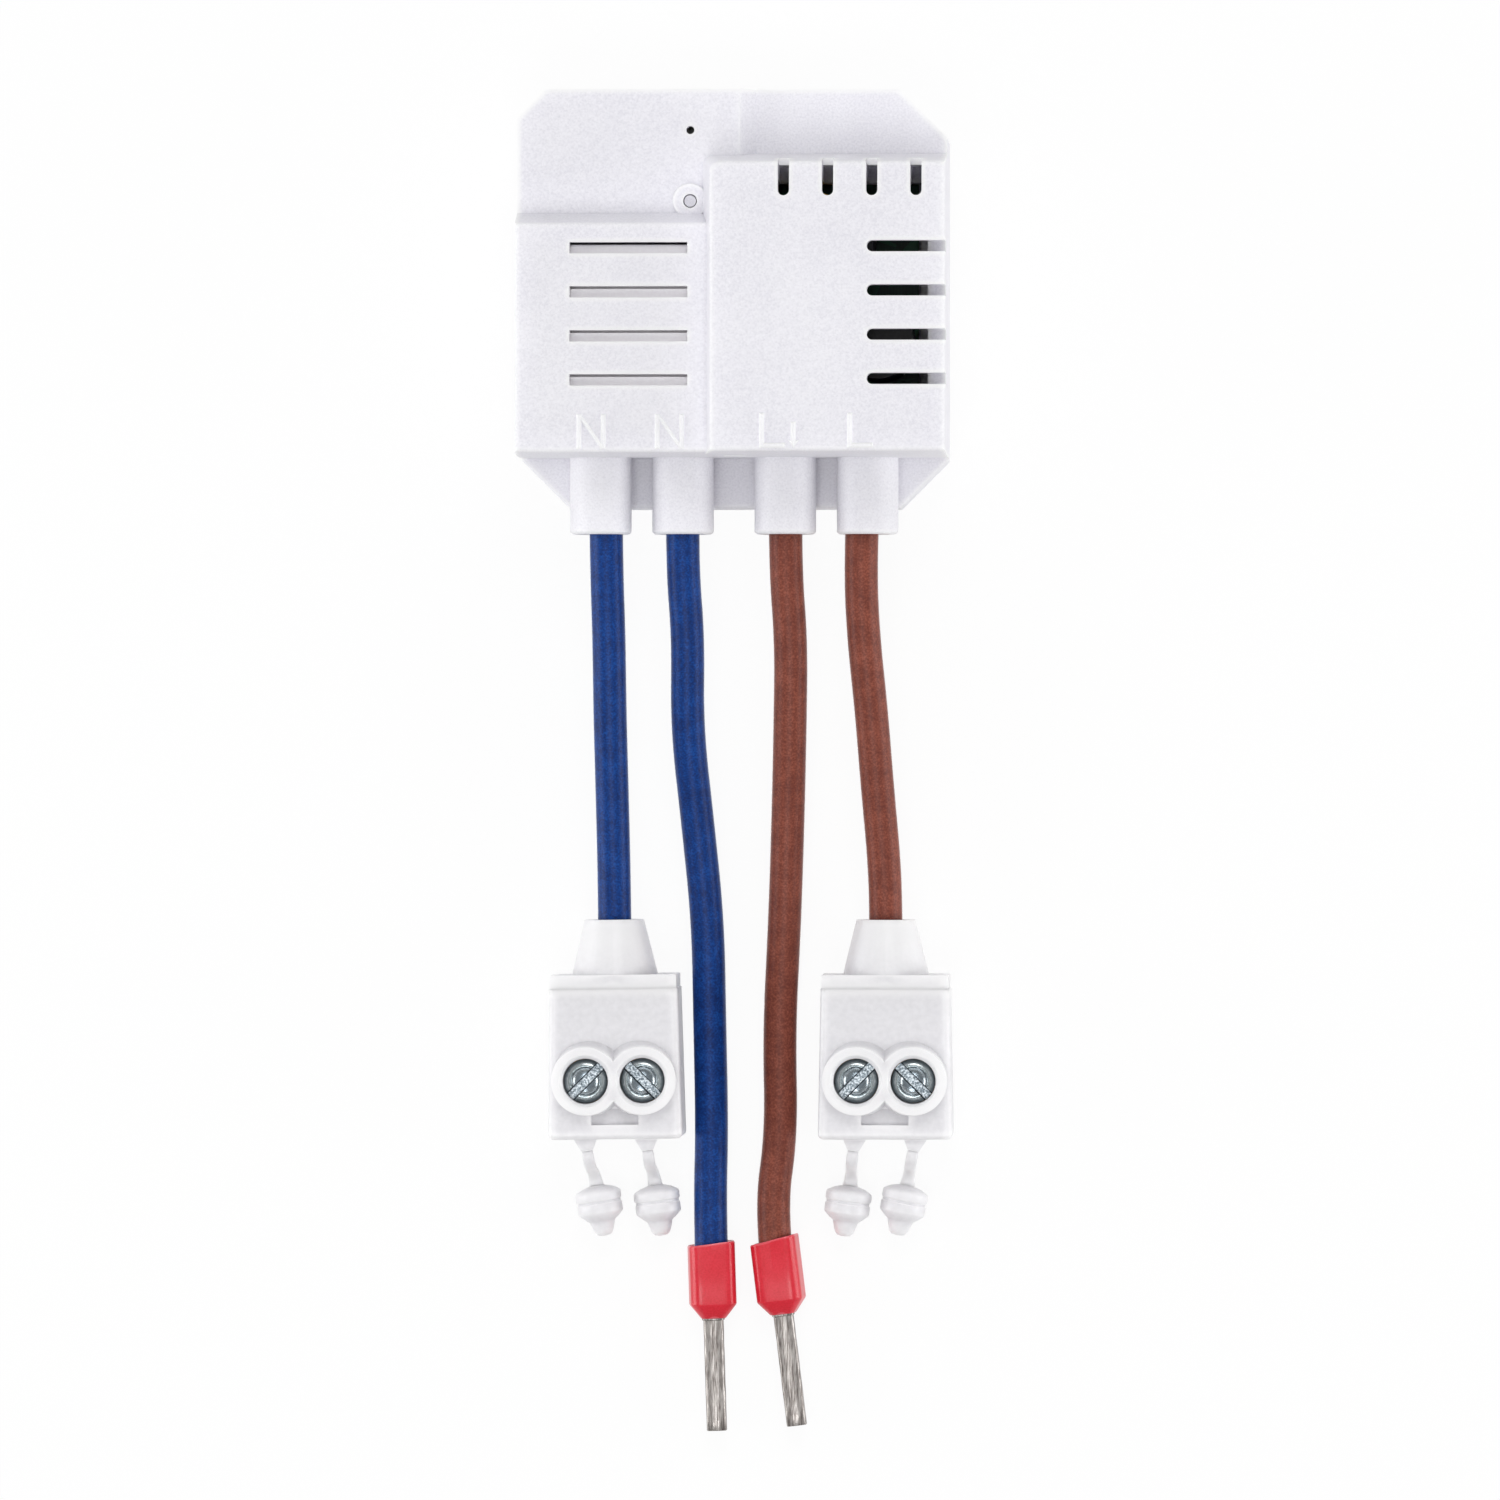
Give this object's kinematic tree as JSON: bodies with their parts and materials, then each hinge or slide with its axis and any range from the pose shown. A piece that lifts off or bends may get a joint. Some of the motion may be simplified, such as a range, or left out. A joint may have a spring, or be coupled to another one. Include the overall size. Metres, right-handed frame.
{
  "type": "in-wall relay module",
  "caption": "In-wall relay module: stepped vented housing with flexible leads that end in ferrules or in screw connectors with captive caps; fits behind a wall outlet.",
  "frame": {"origin": "on the flat back, under the middle of the housing with its sleeves", "axes": "+Z out of the wall towards the front cover, +Y away from the leads, +X to the right seen from the front"},
  "size_m": [0.0385, 0.12, 0.0207],
  "materials": {
    "white_shell": "white moulded polycarbonate, fine matt texture",
    "connector_shell": "white polyamide, slightly translucent, satin",
    "button_grey": "grey plastic",
    "wire_blue": "satin soft PVC insulation",
    "wire_brown": "satin soft PVC insulation",
    "ferrule_red": "glossy polypropylene collar",
    "tinned_copper": "tinned copper",
    "zinc_steel": "zinc plated steel",
    "brass_block": "machined brass",
    "bare_copper": "bare copper",
    "solder": "bright solder",
    "board_green": "fibreglass board with green lacquer",
    "relay_grey": "warm light grey plastic case",
    "black_part": "black plastic or sleeve",
    "ferrite": "sintered ferrite",
    "winding_tape": "copper winding under yellow tape",
    "film_yellow": "yellow box capacitor",
    "varistor_blue": "blue lacquered ceramic disc",
    "shield_tin": "tin plated sheet",
    "lamp_clear": "clear light emitting diode"
  },
  "bodies": {
    "insert": {"front_cover": "white_shell", "rear_shell": "white_shell", "main_board": "board_green", "relay_case": "relay_grey", "relay_base": "black_part", "transformer_core": "ferrite", "transformer_winding": "winding_tape", "mains_capacitor": "black_part", "output_capacitor": "black_part", "film_capacitor": "film_yellow", "varistor": "varistor_blue", "fuse_resistor": "relay_grey", "converter_chip": "black_part", "radio_board": "board_green", "board_header": "black_part", "radio_shield": "shield_tin", "antenna": "shield_tin", "status_light": "lamp_clear", "tact_switch": "shield_tin", "lead_conductors": "bare_copper", "solder_joints": "solder", "ferrule_collar_neutral": "ferrule_red", "ferrule_collar_load": "ferrule_red", "ferrule_pin_neutral": "tinned_copper", "ferrule_pin_load": "tinned_copper", "lead_neutral_short": "wire_blue", "lead_end_neutral_short": "wire_blue", "lead_neutral_long": "wire_blue", "lead_end_neutral_long": "wire_blue", "lead_load_long": "wire_brown", "lead_end_load_long": "wire_brown", "lead_line_short": "wire_brown", "lead_end_line_short": "wire_brown", "connector_body_left": "connector_shell", "connector_hood_left": "connector_shell", "clamp_block_left": "brass_block", "lead_core_left": "bare_copper", "connector_body_right": "connector_shell", "connector_hood_right": "connector_shell", "clamp_block_right": "brass_block", "lead_core_right": "bare_copper"},
    "button": {"program_button": "button_grey", "switch_plunger": "black_part"},
    "plate_left_a": {"pressure_plate_left_a": "zinc_steel"},
    "screw_left_a": {"clamp_screw_left_a": "zinc_steel"},
    "cap_left_a": {"screw_cap_left_a": "connector_shell"},
    "plate_left_b": {"pressure_plate_left_b": "zinc_steel"},
    "screw_left_b": {"clamp_screw_left_b": "zinc_steel"},
    "cap_left_b": {"screw_cap_left_b": "connector_shell"},
    "plate_right_a": {"pressure_plate_right_a": "zinc_steel"},
    "screw_right_a": {"clamp_screw_right_a": "zinc_steel"},
    "cap_right_a": {"screw_cap_right_a": "connector_shell"},
    "plate_right_b": {"pressure_plate_right_b": "zinc_steel"},
    "screw_right_b": {"clamp_screw_right_b": "zinc_steel"},
    "cap_right_b": {"screw_cap_right_b": "connector_shell"}
  },
  "joints": [
    {"name": "button_press", "type": "slide", "parent": "insert", "child": "button", "axis": [0, 0, -1], "range_m": [0, 0.00025], "stiffness_N_per_m": 1200},
    {"name": "plate_left_a_drop", "type": "slide", "parent": "insert", "child": "plate_left_a", "axis": [0, 0, -1], "range_m": [0, 0.0012]},
    {"name": "screw_left_a_turn", "type": "hinge", "parent": "plate_left_a", "child": "screw_left_a", "pos_m": [-0.01328, -0.06858, 0.0075], "axis": [0, 0, -1], "range_deg": [0, 864]},
    {"name": "cap_left_a_swing", "type": "hinge", "parent": "insert", "child": "cap_left_a", "pos_m": [-0.01315, -0.07521, 0.0073], "axis": [-0.9863, -0.165, 0], "range_deg": [0, 100]},
    {"name": "plate_left_b_drop", "type": "slide", "parent": "insert", "child": "plate_left_b", "axis": [0, 0, -1], "range_m": [0, 0.0012]},
    {"name": "screw_left_b_turn", "type": "hinge", "parent": "plate_left_b", "child": "screw_left_b", "pos_m": [-0.0082, -0.06851, 0.0075], "axis": [0, 0, -1], "range_deg": [0, 864]},
    {"name": "cap_left_b_swing", "type": "hinge", "parent": "insert", "child": "cap_left_b", "pos_m": [-0.00776, -0.07514, 0.0073], "axis": [-0.9914, -0.1305, 0], "range_deg": [0, 100]},
    {"name": "plate_right_a_drop", "type": "slide", "parent": "insert", "child": "plate_right_a", "axis": [0, 0, -1], "range_m": [0, 0.0012]},
    {"name": "screw_right_a_turn", "type": "hinge", "parent": "plate_right_a", "child": "screw_right_a", "pos_m": [0.01091, -0.06855, 0.0075], "axis": [0, 0, -1], "range_deg": [0, 864]},
    {"name": "cap_right_a_swing", "type": "hinge", "parent": "insert", "child": "cap_right_a", "pos_m": [0.01055, -0.07518, 0.0073], "axis": [-0.9914, 0.1305, 0], "range_deg": [0, 100]},
    {"name": "plate_right_b_drop", "type": "slide", "parent": "insert", "child": "plate_right_b", "axis": [0, 0, -1], "range_m": [0, 0.0012]},
    {"name": "screw_right_b_turn", "type": "hinge", "parent": "plate_right_b", "child": "screw_right_b", "pos_m": [0.01599, -0.06855, 0.0075], "axis": [0, 0, -1], "range_deg": [0, 864]},
    {"name": "cap_right_b_swing", "type": "hinge", "parent": "insert", "child": "cap_right_b", "pos_m": [0.01589, -0.07516, 0.0073], "axis": [-0.9799, 0.1994, 0], "range_deg": [0, 100]}
  ],
  "couplings": [
    {"joint": "screw_left_a_turn", "follows": "plate_left_a_drop", "rad_per_m": 12566},
    {"joint": "screw_left_b_turn", "follows": "plate_left_b_drop", "rad_per_m": 12566},
    {"joint": "screw_right_a_turn", "follows": "plate_right_a_drop", "rad_per_m": 12566},
    {"joint": "screw_right_b_turn", "follows": "plate_right_b_drop", "rad_per_m": 12566}
  ]
}
